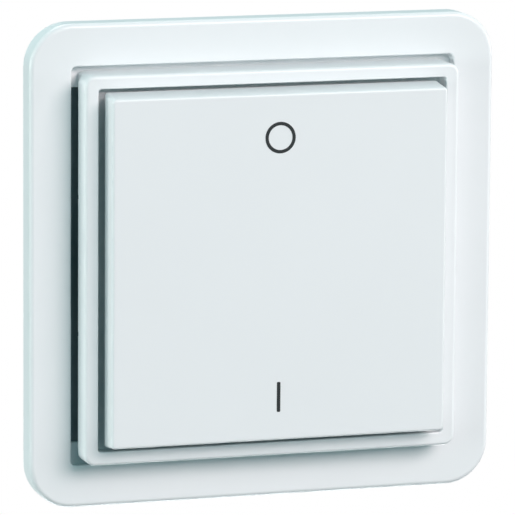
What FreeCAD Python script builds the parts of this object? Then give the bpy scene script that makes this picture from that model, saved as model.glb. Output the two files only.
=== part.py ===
import FreeCAD, Part
import os
import Sketcher

# Wireless remote wall switch: a square cover frame, a raised centre frame and one tilting rocker,
# clipped over a coin-cell transmitter module on a wall plate. Millimetres, +Z up, +X to the right.
# The wall is the plane y = 0 and the switch faces -Y, so a level is a distance from the wall.

SIZES = [
    ("frame_side", 81.0, "cover frame, side of the square"),
    ("frame_corner", 7.4, "cover frame, corner radius seen from the front"),
    ("frame_depth", 4.0, "cover frame, from the wall to its face"),
    ("frame_face", 1.6, "cover frame, thickness of the face"),
    ("frame_rim", 1.8, "cover frame, thickness of the outer wall"),
    ("frame_edge", 0.8, "cover frame, rounding of the outer front edge"),
    ("opening_side", 66.8, "cover frame, side of the square opening"),
    ("opening_corner", 0.9, "cover frame, corner radius of the opening"),
    ("opening_edge", 0.3, "cover frame, rounding of the opening's front edge"),
    ("collar_wall", 1.4, "cover frame, thickness of the wall round the opening"),
    ("ledge_reach", 3.6, "cover frame, how far the upper and lower clamping ledges reach into the opening"),
    ("ledge_thick", 0.8, "cover frame, thickness of the clamping ledges"),
    ("rib_thick", 1.0, "cover frame, thickness of a stiffening rib"),
    ("rib_pitch", 17.0, "cover frame, distance between ribs"),
    ("rib_clear", 0.3, "cover frame, gap between the ribs and the wall plate"),
    ("plate_thick", 1.2, "wall plate, thickness"),
    ("plate_clear", 0.3, "wall plate, gap to the cover frame's outer wall"),
    ("screw_pitch", 55.6, "wall plate, distance between the middles of the screw slots"),
    ("screw_slot", 4.8, "wall plate, length of a screw slot"),
    ("screw_bore", 4.2, "wall plate, width of a screw slot"),
    ("head_room", 6.6, "diameter of the room for a wall screw's head"),
    ("head_height", 2.2, "height of that room above the clamping ledges"),
    ("lip_gap", 0.9, "shadow gap between the centre frame and the opening"),
    ("lip_corner", 1.8, "centre frame, corner radius seen from the front"),
    ("lip_rise", 5.2, "centre frame, height of its face above the cover frame"),
    ("lip_lift", 1.0, "centre frame, height of the lip's side edges above the cover frame"),
    ("lip_edge", 0.55, "centre frame, rounding of the outer front edge"),
    ("skirt_step", 0.8, "centre frame, how far the skirt stands back under the lip's sides"),
    ("aperture_side", 60.5, "centre frame, side of the rocker's aperture"),
    ("aperture_corner", 0.5, "centre frame, corner radius of the aperture"),
    ("aperture_edge", 0.25, "centre frame, rounding of the aperture's front edge"),
    ("shelf_reach", 2.2, "centre frame, how far the shelf under the rocker's edges reaches inwards"),
    ("shelf_thick", 1.0, "centre frame, thickness of that shelf"),
    ("shelf_drop", 2.2, "centre frame, depth of that shelf below the rocker's lower edge"),
    ("tongue_width", 22.3, "centre frame, width of a snap tongue"),
    ("slit_width", 0.7, "centre frame, width of the slits beside a tongue"),
    ("catch_width", 14.0, "wall plate, width of the catch in a tongue's window"),
    ("catch_thick", 1.0, "wall plate, thickness of the catch"),
    ("catch_clear", 0.25, "gap between the catch and the skirt"),
    ("catch_bite", 0.9, "reach of the catch's barb into the window"),
    ("catch_level", 3.4, "level of the barb's holding edge"),
    ("barb_height", 1.0, "height of a barb"),
    ("snap_clear", 0.2, "gap between a barb and its window"),
    ("rocker_gap", 1.25, "gap between the rocker and the aperture"),
    ("rocker_corner", 0.6, "rocker, corner radius seen from the front"),
    ("rocker_rise", 4.0, "rocker, height of its face above the centre frame"),
    ("rocker_face", 1.8, "rocker, thickness of the face"),
    ("rocker_wall", 1.6, "rocker, thickness of the side walls"),
    ("rocker_skirt", 4.7, "rocker, depth of the side walls"),
    ("rocker_slope", 0.6, "rocker, how far its upper and lower sides slope outwards"),
    ("rocker_edge", 0.4, "rocker, rounding of the front edge"),
    ("web_thick", 0.9, "rocker, thickness of a stiffening web"),
    ("web_height", 1.0, "rocker, height of a stiffening web"),
    ("web_offset", 13.0, "rocker, distance of a web from the middle"),
    ("pivot_level", 6.5, "level of the rocker's hinge axis"),
    ("pin_diameter", 3.0, "hinge pin, diameter"),
    ("pin_reach", 2.9, "hinge pin, length outside the module"),
    ("pin_clear", 0.05, "hinge pin, radial clearance in the ear"),
    ("ear_gap", 0.3, "gap between an ear and the module"),
    ("ear_thick", 2.2, "rocker, thickness of a hinge ear"),
    ("ear_wall", 1.6, "rocker, wall of a hinge ear round its bore"),
    ("ear_mouth", 2.5, "rocker, width of the snap mouth of an ear"),
    ("press_width", 6.0, "rocker, width of the block that presses a dome"),
    ("press_thick", 3.0, "rocker, thickness of the block that presses a dome"),
    ("press_gap", 0.1, "gap between that block and its dome"),
    ("stop_offset", 21.0, "rocker, distance of a stop rib from the hinge axis"),
    ("stop_width", 26.0, "rocker, width of a stop rib"),
    ("stop_thick", 1.2, "rocker, thickness of a stop rib"),
    ("stop_lift", 1.35, "gap between a stop rib and the module at rest"),
    ("module_side", 46.0, "module, side of the square housing"),
    ("module_corner", 2.0, "module, corner radius"),
    ("module_wall", 1.2, "module, thickness of the side walls"),
    ("tray_floor", 1.0, "module tray, thickness of the floor"),
    ("parting_level", 4.6, "module, level where tray and cover meet"),
    ("cover_face", 1.2, "module cover, thickness of the face"),
    ("cover_edge", 0.5, "module cover, rounding of the front edge"),
    ("hook_width", 12.0, "wall plate, width of a module hook"),
    ("hook_thick", 1.2, "wall plate, thickness of a module hook"),
    ("hook_clear", 0.2, "gap between a hook and the module"),
    ("hook_bite", 0.8, "reach of the hook's barb into the tray's window"),
    ("hook_level", 3.0, "level of the hook's holding edge"),
    ("board_level", 5.6, "circuit board, level of its back"),
    ("board_thick", 1.0, "circuit board, thickness"),
    ("board_clear", 0.4, "circuit board, gap to the cover's walls"),
    ("pillar_offset", 18.4, "module, distance of a screw pillar from the middle"),
    ("pillar_diameter", 5.0, "module, diameter of a screw pillar"),
    ("shank_diameter", 2.0, "housing screw, diameter of the shank"),
    ("shank_clear", 0.15, "housing screw, radial clearance in tray and board"),
    ("grip_clear", 0.04, "housing screw, radial clearance in the cover's boss"),
    ("grip_length", 1.4, "housing screw, length in the cover beyond the board"),
    ("bolt_head", 3.6, "housing screw, diameter of the head"),
    ("bolt_head_thick", 1.2, "housing screw, thickness of the head"),
    ("bolt_sink", 0.3, "housing screw, depth of the head below the tray's back"),
    ("mat_width", 18.0, "contact mat, width"),
    ("mat_length", 40.0, "contact mat, length"),
    ("mat_corner", 2.0, "contact mat, corner radius"),
    ("mat_thick", 0.8, "contact mat, thickness of the flange"),
    ("mat_sink", 0.3, "depth of the contact mat's seat in the cover's face"),
    ("mat_clear", 0.2, "gap between the contact mat and the rim of its seat"),
    ("dome_offset", 14.0, "contact mat, distance of a dome from the hinge axis"),
    ("dome_base", 9.0, "contact mat, diameter of a dome at the flange"),
    ("dome_nub", 5.2, "contact mat, diameter of a dome's nub"),
    ("dome_rise", 2.5, "contact mat, height of a nub above the flange"),
    ("nub_height", 1.0, "contact mat, height of the straight part of a nub"),
    ("dome_wall", 0.7, "contact mat, wall of a dome"),
    ("dome_travel", 1.0, "contact mat, gap between a contact and the board"),
    ("dome_clear", 0.4, "gap between a dome and its hole in the cover"),
    ("cell_diameter", 20.0, "coin cell, diameter"),
    ("cell_thick", 3.2, "coin cell, thickness"),
    ("cell_cap", 17.6, "coin cell, diameter of the raised cap"),
    ("cell_step", 0.3, "coin cell, height of the raised cap"),
    ("contact_height", 0.5, "cell contact, height between board and cell"),
    ("contact_strip", 0.2, "cell contact, thickness of the strip"),
    ("contact_width", 4.0, "cell contact, width"),
    ("contact_span", 9.0, "cell contact, length between its feet"),
    ("contact_crown", 3.0, "cell contact, length of the part that touches the cell"),
    ("contact_foot", 1.5, "cell contact, length of a foot"),
    ("holder_clear", 0.2, "cell holder, radial gap to the cell"),
    ("holder_wall", 1.3, "cell holder, thickness of the ring"),
    ("holder_height", 3.0, "cell holder, height above the board"),
    ("holder_gap", 8.0, "cell holder, width of the push-out gap"),
    ("clip_strip", 0.3, "cell clip, thickness of the strip"),
    ("clip_width", 6.0, "cell clip, width"),
    ("clip_foot", 1.5, "cell clip, length of a foot"),
    ("clip_clear", 0.1, "cell clip, gap to the holder"),
    ("window_clear", 1.5, "module tray, gap round the cell holder"),
    ("chip_column", 16.4, "parts on the board, distance of their columns from the middle"),
    ("chip_row", 6.5, "parts on the board, height of the chips above the middle"),
    ("lower_row", 5.0, "parts on the board, depth of crystal and coil below the middle"),
    ("radio_side", 5.0, "radio chip, side"),
    ("radio_thick", 0.9, "radio chip, thickness"),
    ("coder_width", 3.9, "coding chip, width"),
    ("coder_length", 4.9, "coding chip, length"),
    ("coder_thick", 1.5, "coding chip, thickness"),
    ("lead_pitch", 1.27, "coding chip, distance between leads"),
    ("lead_width", 0.45, "coding chip, width of a lead"),
    ("lead_reach", 1.0, "coding chip, length of a lead"),
    ("lead_thick", 0.6, "coding chip, height of a lead"),
    ("crystal_width", 3.2, "crystal, width"),
    ("crystal_length", 5.0, "crystal, length"),
    ("crystal_thick", 1.2, "crystal, thickness"),
    ("coil_flange", 4.0, "matching coil, diameter of a flange"),
    ("coil_core", 2.6, "matching coil, diameter of the winding"),
    ("coil_height", 2.4, "matching coil, height"),
    ("coil_plate", 0.5, "matching coil, thickness of a flange"),
    ("passive_length", 2.0, "capacitor or resistor, length"),
    ("passive_width", 1.2, "capacitor or resistor, width"),
    ("passive_thick", 0.7, "capacitor or resistor, thickness"),
    ("passive_pitch", 2.4, "capacitors and resistors, distance in a row"),
    ("passive_row", 17.6, "capacitors and resistors, height of the row above the middle"),
    ("antenna_wire", 0.9, "antenna, diameter of the wire"),
    ("antenna_span", 26.0, "antenna, distance between its legs"),
    ("antenna_height", 2.2, "antenna, height of the wire above the board"),
    ("antenna_bend", 1.4, "antenna, radius of a bend"),
    ("antenna_row", 18.0, "antenna, depth below the middle"),
]

PASSIVES_IN_ROW = 4
RIBS_ON_SIDE = 4
LEADS_ON_SIDE = 4

doc = FreeCAD.newDocument("wall_switch")


class Size:
    """A length as a number together with the sheet expression that drives it."""

    def __init__(self, text, number):
        self.text = text
        self.number = number

    @staticmethod
    def of(other):
        if isinstance(other, Size):
            return other
        return Size(repr(float(other)), float(other))

    def __add__(self, other):
        other = Size.of(other)
        return Size(f"({self.text} + {other.text})", self.number + other.number)

    def __sub__(self, other):
        other = Size.of(other)
        return Size(f"({self.text} - {other.text})", self.number - other.number)

    def __mul__(self, factor):
        return Size(f"({self.text} * {float(factor)!r})", self.number * factor)

    __rmul__ = __mul__

    def __truediv__(self, divisor):
        return Size(f"({self.text} / {float(divisor)!r})", self.number / divisor)

    def __neg__(self):
        return self * -1


class Sheet:
    """The spreadsheet of driving dimensions, read as attributes."""

    def __init__(self, rows):
        self.cells = doc.addObject("Spreadsheet::Sheet", "Sizes")
        self.cells.Label = "Sizes"
        for row, (alias, number, note) in enumerate(rows, start=1):
            self.cells.set(f"A{row}", note)
            self.cells.set(f"B{row}", str(number))
            self.cells.setAlias(f"B{row}", alias)
            setattr(self, alias, Size(f"Sizes.{alias}", float(number)))
        doc.recompute()


def new_body(name):
    body = doc.addObject("PartDesign::Body", name)
    body.Label = name
    return body


def origin_part(body, role):
    return next(f for f in body.Origin.OriginFeatures if f.Role == role)


def bind(target, path, size):
    target.setExpression(path, Size.of(size).text)


def new_sketch(body, name, plane="XZ_Plane", across=0, up=0, level=0):
    """A sketch on one of the body's own planes, moved along its axes and its normal.
    On XZ_Plane the level is the distance from the wall."""
    sketch = body.newObject("Sketcher::SketchObject", f"{body.Name}_{name}")
    sketch.AttachmentSupport = [(origin_part(body, plane), "")]
    sketch.MapMode = "FlatFace"
    bind(sketch, ".AttachmentOffset.Base.x", across)
    bind(sketch, ".AttachmentOffset.Base.y", up)
    bind(sketch, ".AttachmentOffset.Base.z", level)
    return sketch


def dimension(sketch, name, kind, *args):
    """Adds a named dimension whose last argument is the Size that drives it."""
    size = Size.of(args[-1])
    index = sketch.addConstraint(Sketcher.Constraint(kind, *args[:-1], size.number))
    sketch.renameConstraint(index, name)
    sketch.setExpression(f"Constraints.{name}", size.text)


def rule(sketch, kind, *args):
    sketch.addConstraint(Sketcher.Constraint(kind, *args))


def draw_circle(sketch, diameter, name="diameter"):
    radius = Size.of(diameter).number / 2
    circle = sketch.addGeometry(Part.Circle(FreeCAD.Vector(), FreeCAD.Vector(0, 0, 1), radius))
    rule(sketch, "Coincident", circle, 3, -1, 1)
    dimension(sketch, name, "Diameter", circle, diameter)


def draw_rectangle(sketch, width, height):
    """A rectangle centred on the sketch's origin."""
    x = Size.of(width).number / 2
    y = Size.of(height).number / 2
    corners = [FreeCAD.Vector(*p) for p in ((-x, -y), (x, -y), (x, y), (-x, y))]
    lines = []
    for start, end in zip(corners, corners[1:] + corners[:1]):
        lines.append(sketch.addGeometry(Part.LineSegment(start, end)))
    for line, following in zip(lines, lines[1:] + lines[:1]):
        rule(sketch, "Coincident", line, 2, following, 1)
    for line, kind in zip(lines, ("Horizontal", "Vertical", "Horizontal", "Vertical")):
        rule(sketch, kind, line)
    rule(sketch, "Symmetric", lines[0], 1, lines[1], 2, -1, 1)
    dimension(sketch, "width", "DistanceX", lines[0], 1, lines[0], 2, width)
    dimension(sketch, "height", "DistanceY", lines[1], 1, lines[1], 2, height)


def draw_rounded(sketch, width, height, radius):
    """A rectangle with rounded corners, centred on the sketch's origin."""
    x = Size.of(width).number / 2
    y = Size.of(height).number / 2
    r = Size.of(radius).number
    diagonal = r * 0.5 ** 0.5
    arcs = []
    lines = []
    starts = {}
    for turn, (sx, sy) in enumerate(((1, -1), (1, 1), (-1, 1), (-1, -1))):
        centre = FreeCAD.Vector(sx * (x - r), sy * (y - r))
        tips = [centre + FreeCAD.Vector(0, sy * r), centre + FreeCAD.Vector(sx * r, 0)]
        if turn % 2:
            tips.reverse()
        middle = centre + FreeCAD.Vector(sx * diagonal, sy * diagonal)
        starts[turn] = tips
        arcs.append(sketch.addGeometry(Part.Arc(tips[0], middle, tips[1])))
    for turn in range(4):
        line = Part.LineSegment(starts[turn][1], starts[(turn + 1) % 4][0])
        lines.append(sketch.addGeometry(line))
    for turn in range(4):
        rule(sketch, "Tangent", arcs[turn], 2, lines[turn], 1)
        rule(sketch, "Tangent", lines[turn], 2, arcs[(turn + 1) % 4], 1)
        rule(sketch, ("Vertical", "Horizontal")[turn % 2], lines[turn])
    for arc in arcs[1:3]:
        rule(sketch, "Equal", arcs[0], arc)
    rule(sketch, "Symmetric", arcs[0], 3, arcs[2], 3, -1, 1)
    dimension(sketch, "radius", "Radius", arcs[0], radius)
    dimension(sketch, "width", "DistanceX", lines[1], 2, lines[1], 1, width - 2 * Size.of(radius))
    dimension(sketch, "height", "DistanceY", lines[0], 1, lines[0], 2, height - 2 * Size.of(radius))


def draw_slot(sketch, length, width):
    """A round-ended slot along the sketch's upright axis."""
    half = Size.of(length).number / 2
    r = Size.of(width).number / 2
    run = half - r
    vector = FreeCAD.Vector
    top = sketch.addGeometry(Part.Arc(vector(r, run), vector(0, half), vector(-r, run)))
    left = sketch.addGeometry(Part.LineSegment(vector(-r, run), vector(-r, -run)))
    foot = sketch.addGeometry(Part.Arc(vector(-r, -run), vector(0, -half), vector(r, -run)))
    right = sketch.addGeometry(Part.LineSegment(vector(r, -run), vector(r, run)))
    loop = [top, left, foot, right]
    for curve, following in zip(loop, loop[1:] + loop[:1]):
        rule(sketch, "Tangent", curve, 2, following, 1)
    rule(sketch, "Vertical", left)
    rule(sketch, "Symmetric", top, 3, foot, 3, -1, 1)
    dimension(sketch, "radius", "Radius", top, width / 2)
    dimension(sketch, "run", "DistanceY", foot, 3, top, 3, length - width)


def draw_outline(sketch, points):
    """A closed outline of straight edges through points given as pairs of Sizes or numbers."""
    places = [(Size.of(x), Size.of(y)) for x, y in points]
    corners = [FreeCAD.Vector(x.number, y.number) for x, y in places]
    lines = []
    for start, end in zip(corners, corners[1:] + corners[:1]):
        lines.append(sketch.addGeometry(Part.LineSegment(start, end)))
    for line, following in zip(lines, lines[1:] + lines[:1]):
        rule(sketch, "Coincident", line, 2, following, 1)
    for line, (x, y) in zip(lines, places):
        fix_point(sketch, f"point{line}", line, 1, x, y)


def fix_point(sketch, name, curve, end, x, y):
    """Ties a point to the sketch's origin by its two distances."""
    for axis, kind, size, zero_line in (("x", "DistanceX", x, -2), ("y", "DistanceY", y, -1)):
        if size.number == 0:
            rule(sketch, "PointOnObject", curve, end, zero_line)
        else:
            dimension(sketch, f"{name}{axis}", kind, -1, 1, curve, end, size)


def settle(body, feature):
    body.Tip = feature
    doc.recompute()
    if "Invalid" in feature.State or "Error" in feature.State or feature.Shape.isNull():
        raise RuntimeError(f"{feature.Name} could not be made")
    return feature


def pad(body, sketch, length, backward=False, both=False):
    """Adds material along the sketch's normal, which on XZ_Plane points away from the wall."""
    feature = body.newObject("PartDesign::Pad", f"{sketch.Name}_pad")
    feature.Profile = sketch
    feature.Reversed = backward
    feature.SideType = "Symmetric" if both else "One side"
    bind(feature, "Length", length)
    return settle(body, feature)


def cut(body, sketch, length, forward=False, both=False):
    """Removes material against the sketch's normal, which on XZ_Plane is towards the wall."""
    before = body.Tip.Shape.Volume
    feature = body.newObject("PartDesign::Pocket", f"{sketch.Name}_cut")
    feature.Profile = sketch
    feature.Reversed = forward
    feature.SideType = "Symmetric" if both else "One side"
    bind(feature, "Length", length)
    settle(body, feature)
    if feature.Shape.Volume >= before:
        raise RuntimeError(f"{feature.Name} removes nothing")
    return feature


def revolve(body, sketch):
    """Turns a sketch a full circle round the upright axis of its own plane."""
    feature = body.newObject("PartDesign::Revolution", f"{sketch.Name}_turned")
    feature.Profile = sketch
    feature.ReferenceAxis = (sketch, ["V_Axis"])
    return settle(body, feature)


def mirror(body, feature, plane):
    copy = body.newObject("PartDesign::Mirrored", f"{feature.Name}_mirrored")
    copy.Originals = [feature]
    copy.MirrorPlane = (origin_part(body, plane), [""])
    return settle(body, copy)


def turn_copies(body, feature, count):
    """Repeats a feature evenly round the line that looks straight at the wall."""
    copies = body.newObject("PartDesign::PolarPattern", f"{feature.Name}_turned")
    copies.Originals = [feature]
    copies.Axis = (origin_part(body, "Y_Axis"), [""])
    copies.Angle = 360.0
    copies.Occurrences = count
    return settle(body, copies)


def front_face(shape):
    """The flat face that stands furthest from the wall."""
    flat = [f for f in shape.Faces if isinstance(f.Surface, Part.Plane)]
    level = min(f.BoundBox.YMin for f in flat)
    on_front = [f for f in flat if f.BoundBox.YMax < level + 1e-6]
    return max(on_front, key=lambda f: f.Area)


def edge_names(shape, edges):
    return [f"Edge{n}" for n, e in enumerate(shape.Edges, start=1) if any(e.isSame(x) for x in edges)]


def round_front(body, radius, inner=False):
    """Rounds the outer edge of the body's front face, or the edge of its opening."""
    base = body.Tip
    face = front_face(base.Shape)
    outer = face.OuterWire
    loops = [w for w in face.Wires if w.isSame(outer) != inner]
    edges = [e for w in loops for e in w.Edges]
    feature = body.newObject("PartDesign::Fillet", f"{base.Name}_rounded")
    feature.Base = (base, edge_names(base.Shape, edges))
    bind(feature, "Radius", radius)
    return settle(body, feature)


def round_corners(body, radius):
    """Rounds the four edges that run from the body's back to its front."""
    base = body.Tip
    box = base.Shape.BoundBox
    edges = [e for e in base.Shape.Edges if e.BoundBox.YLength > box.YLength - 1e-6]
    feature = body.newObject("PartDesign::Fillet", f"{base.Name}_corners")
    feature.Base = (base, edge_names(base.Shape, edges))
    bind(feature, "Radius", radius)
    return settle(body, feature)


def place(feature, x, y, z):
    bind(feature, ".Placement.Base.x", x)
    bind(feature, ".Placement.Base.y", y)
    bind(feature, ".Placement.Base.z", z)


def block(name, x, z, width, thick, height):
    """A box on the back of the circuit board, centred at x and z."""
    box = doc.addObject("Part::Box", name)
    bind(box, "Length", width)
    bind(box, "Width", thick)
    bind(box, "Height", height)
    place(box, x - width / 2, -s.board_level, z - height / 2)
    return box


def post(name, x, z, level, diameter, length):
    """A cylinder whose axis looks at the wall, from a level towards the front."""
    cylinder = doc.addObject("Part::Cylinder", name)
    bind(cylinder, "Radius", diameter / 2)
    bind(cylinder, "Height", length)
    cylinder.Placement.Rotation = FreeCAD.Rotation(FreeCAD.Vector(1, 0, 0), 90)
    place(cylinder, x, -level, z)
    return cylinder


def fuse(name, pieces):
    union = doc.addObject("Part::MultiFuse", name)
    union.Label = name
    union.Shapes = pieces
    doc.recompute()
    return union


def group(name, pieces):
    compound = doc.addObject("Part::Compound", name)
    compound.Label = name
    compound.Links = pieces
    doc.recompute()
    return compound


s = Sheet(SIZES)

# Levels and sizes that follow from the driving dimensions.
ledge_top = s.plate_thick + s.ledge_thick
ledge_span = s.opening_side - 2 * s.ledge_reach
head_span = s.screw_pitch + s.screw_slot - s.screw_bore + s.head_room
lip_side = s.opening_side - 2 * s.lip_gap
lip_bottom = s.frame_depth + s.lip_lift
lip_front = s.frame_depth + s.lip_rise
skirt_side = lip_side - 2 * s.skirt_step
rocker_side = s.aperture_side - 2 * s.rocker_gap
rocker_front = lip_front + s.rocker_rise
rocker_inside = rocker_front - s.rocker_face
rocker_bottom = rocker_front - s.rocker_skirt
shelf_top = rocker_bottom - s.shelf_drop
shelf_back = shelf_top - s.shelf_thick
floor_top = s.plate_thick + s.tray_floor
board_front = s.board_level + s.board_thick
cover_back = board_front + s.mat_thick
cover_front = cover_back + s.cover_face
nub_top = cover_back + s.dome_rise
module_inside = s.module_side - 2 * s.module_wall
cell_front = s.board_level - s.contact_height
cell_back = cell_front - s.cell_thick
holder_bore = s.cell_diameter + 2 * s.holder_clear
holder_outside = holder_bore + 2 * s.holder_wall
corners = [(x, z) for x in (-1, 1) for z in (-1, 1)]


def make_outer_frame():
    body = new_body("outer_frame")
    outline = new_sketch(body, "outline")
    draw_rounded(outline, s.frame_side, s.frame_side, s.frame_corner)
    pad(body, outline, s.frame_depth)
    hollow = new_sketch(body, "hollow")
    inside = s.frame_side - 2 * s.frame_rim
    draw_rounded(hollow, inside, inside, s.frame_corner - s.frame_rim)
    cut(body, hollow, s.frame_depth - s.frame_face, forward=True)
    collar = new_sketch(body, "collar", level=s.plate_thick)
    collar_side = s.opening_side + 2 * s.collar_wall
    draw_rounded(collar, collar_side, collar_side, s.opening_corner + s.collar_wall)
    pad(body, collar, s.frame_depth - s.plate_thick)
    opening = new_sketch(body, "opening", level=s.frame_depth)
    draw_rounded(opening, s.opening_side, s.opening_side, s.opening_corner)
    cut(body, opening, s.frame_depth - ledge_top)
    mouth = new_sketch(body, "mouth", level=ledge_top)
    draw_rectangle(mouth, s.opening_side, ledge_span)
    cut(body, mouth, s.ledge_thick)
    gap = new_sketch(body, "head_gap", level=ledge_top)
    draw_rectangle(gap, s.head_room, head_span)
    cut(body, gap, s.ledge_thick)
    rib_length = (inside - collar_side) / 2 + s.collar_wall
    for rib in range(RIBS_ON_SIDE):
        across = s.rib_pitch * (rib - (RIBS_ON_SIDE - 1) / 2)
        up = (inside + s.collar_wall - rib_length) / 2
        sketch = new_sketch(body, f"rib{rib}", across=across, up=up, level=s.plate_thick + s.rib_clear)
        draw_rectangle(sketch, s.rib_thick, rib_length)
        feature = pad(body, sketch, s.frame_depth - s.frame_face / 2 - s.plate_thick - s.rib_clear)
        turn_copies(body, feature, 4)
    round_front(body, s.frame_edge)
    round_front(body, s.opening_edge, inner=True)
    return body


def make_wall_plate():
    body = new_body("wall_plate")
    outline = new_sketch(body, "outline")
    margin = s.frame_rim + s.plate_clear
    side = s.frame_side - 2 * margin
    draw_rounded(outline, side, side, s.frame_corner - margin)
    pad(body, outline, s.plate_thick)
    for name, way in (("upper", 1), ("lower", -1)):
        slot = new_sketch(body, f"{name}_slot", up=way * s.screw_pitch / 2, level=s.plate_thick)
        draw_slot(slot, s.screw_slot, s.screw_bore)
        cut(body, slot, s.plate_thick)
    root = s.plate_thick / 2
    face = s.aperture_side / 2 - s.catch_clear
    tip = face + s.catch_bite
    barb_top = s.catch_level + s.barb_height
    catch = new_sketch(body, "catch", plane="XY_Plane")
    draw_outline(catch, [
        (face - s.catch_thick, -root),
        (face, -root),
        (face, -s.catch_level),
        (tip, -s.catch_level),
        (face, -barb_top),
        (face - s.catch_thick, -barb_top),
    ])
    mirror(body, pad(body, catch, s.catch_width, both=True), "YZ_Plane")
    face = s.module_side / 2 + s.hook_clear
    tip = face - s.hook_bite
    barb_top = s.hook_level + s.barb_height
    hook = new_sketch(body, "hook", plane="YZ_Plane")
    draw_outline(hook, [
        (-root, face + s.hook_thick),
        (-root, face),
        (-s.hook_level, face),
        (-s.hook_level, tip),
        (-barb_top, face),
        (-barb_top, face + s.hook_thick),
    ])
    mirror(body, pad(body, hook, s.hook_width, both=True), "XY_Plane")
    return body


def make_centre_frame():
    body = new_body("centre_frame")
    lip = new_sketch(body, "lip", level=ledge_top)
    draw_rounded(lip, lip_side, lip_side, s.lip_corner)
    pad(body, lip, lip_front - ledge_top)
    for name, way in (("left", -1), ("right", 1)):
        recess = new_sketch(body, f"{name}_recess", across=way * lip_side / 2, level=ledge_top)
        draw_rectangle(recess, 2 * s.skirt_step, lip_side)
        cut(body, recess, lip_bottom - ledge_top, forward=True)
    aperture = new_sketch(body, "aperture", level=lip_front)
    draw_rounded(aperture, s.aperture_side, s.aperture_side, s.aperture_corner)
    cut(body, aperture, lip_front - shelf_top)
    mouth = new_sketch(body, "mouth", level=shelf_top)
    mouth_side = s.aperture_side - 2 * s.shelf_reach
    draw_rectangle(mouth, mouth_side, mouth_side)
    cut(body, mouth, s.shelf_thick)
    hollow = new_sketch(body, "hollow", level=ledge_top)
    draw_rounded(hollow, s.aperture_side, s.aperture_side, s.aperture_corner)
    cut(body, hollow, shelf_back - ledge_top, forward=True)
    for name, way in (("upper", 1), ("lower", -1)):
        up = way * (s.tongue_width + s.slit_width) / 2
        slit = new_sketch(body, f"{name}_slits", up=up, level=ledge_top)
        draw_rectangle(slit, skirt_side, s.slit_width)
        cut(body, slit, lip_bottom - ledge_top, forward=True)
    low = s.catch_level - s.snap_clear
    high = s.catch_level + s.barb_height + s.snap_clear
    window = new_sketch(body, "windows", plane="YZ_Plane", across=-(low + high) / 2)
    draw_rectangle(window, high - low, s.catch_width + 2 * s.snap_clear)
    cut(body, window, s.frame_side, both=True)
    notch = new_sketch(body, "notches", plane="XY_Plane", up=-(ledge_top + s.head_height / 2))
    draw_rectangle(notch, s.head_room, s.head_height)
    cut(body, notch, head_span, both=True)
    round_front(body, s.lip_edge)
    round_front(body, s.aperture_edge, inner=True)
    return body


def make_rocker():
    body = new_body("rocker")
    top = rocker_side / 2
    foot = top + s.rocker_slope
    profile = new_sketch(body, "profile", plane="YZ_Plane")
    draw_outline(profile, [
        (-rocker_bottom, foot),
        (-rocker_front, top),
        (-rocker_front, -top),
        (-rocker_bottom, -foot),
    ])
    pad(body, profile, rocker_side, both=True)
    round_corners(body, s.rocker_corner)
    hollow = new_sketch(body, "hollow", level=rocker_bottom)
    inside = rocker_side - 2 * s.rocker_wall
    draw_rectangle(hollow, inside, inside)
    cut(body, hollow, s.rocker_skirt - s.rocker_face, forward=True)
    root = rocker_inside + s.rocker_face / 2
    for name, way in (("left", -1), ("right", 1)):
        web = new_sketch(body, f"{name}_web", across=way * s.web_offset, level=rocker_inside - s.web_height)
        draw_rectangle(web, s.web_thick, inside + s.rocker_wall)
        pad(body, web, s.web_height + s.rocker_face / 2)
    for name, way in (("upper", 1), ("lower", -1)):
        press = new_sketch(body, f"{name}_press", up=way * s.dome_offset, level=nub_top + s.press_gap)
        draw_rounded(press, s.press_width, s.press_thick, s.press_thick / 4)
        pad(body, press, root - nub_top - s.press_gap)
        stop = new_sketch(body, f"{name}_stop", up=way * s.stop_offset, level=cover_front + s.stop_lift)
        draw_rectangle(stop, s.stop_width, s.stop_thick)
        pad(body, stop, root - cover_front - s.stop_lift)
    bore = s.pin_diameter + 2 * s.pin_clear
    ear_width = bore + 2 * s.ear_wall
    ear_start = s.module_side / 2 + s.ear_gap
    ear = new_sketch(body, "ear", plane="YZ_Plane", across=-(s.pivot_level + root) / 2, level=ear_start)
    draw_rectangle(ear, root - s.pivot_level, ear_width)
    mirror(body, pad(body, ear, s.ear_thick), "YZ_Plane")
    knuckle = new_sketch(body, "knuckle", plane="YZ_Plane", across=-s.pivot_level, level=ear_start)
    draw_circle(knuckle, ear_width)
    mirror(body, pad(body, knuckle, s.ear_thick), "YZ_Plane")
    hole = new_sketch(body, "hole", plane="YZ_Plane", across=-s.pivot_level)
    draw_circle(hole, bore)
    reach = 2 * (ear_start + s.ear_thick)
    cut(body, hole, reach, both=True)
    mouth = new_sketch(body, "mouth", plane="YZ_Plane", across=ear_width / 2 - s.pivot_level)
    draw_rectangle(mouth, ear_width, s.ear_mouth)
    cut(body, mouth, reach, both=True)
    round_front(body, s.rocker_edge)
    return body


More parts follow.
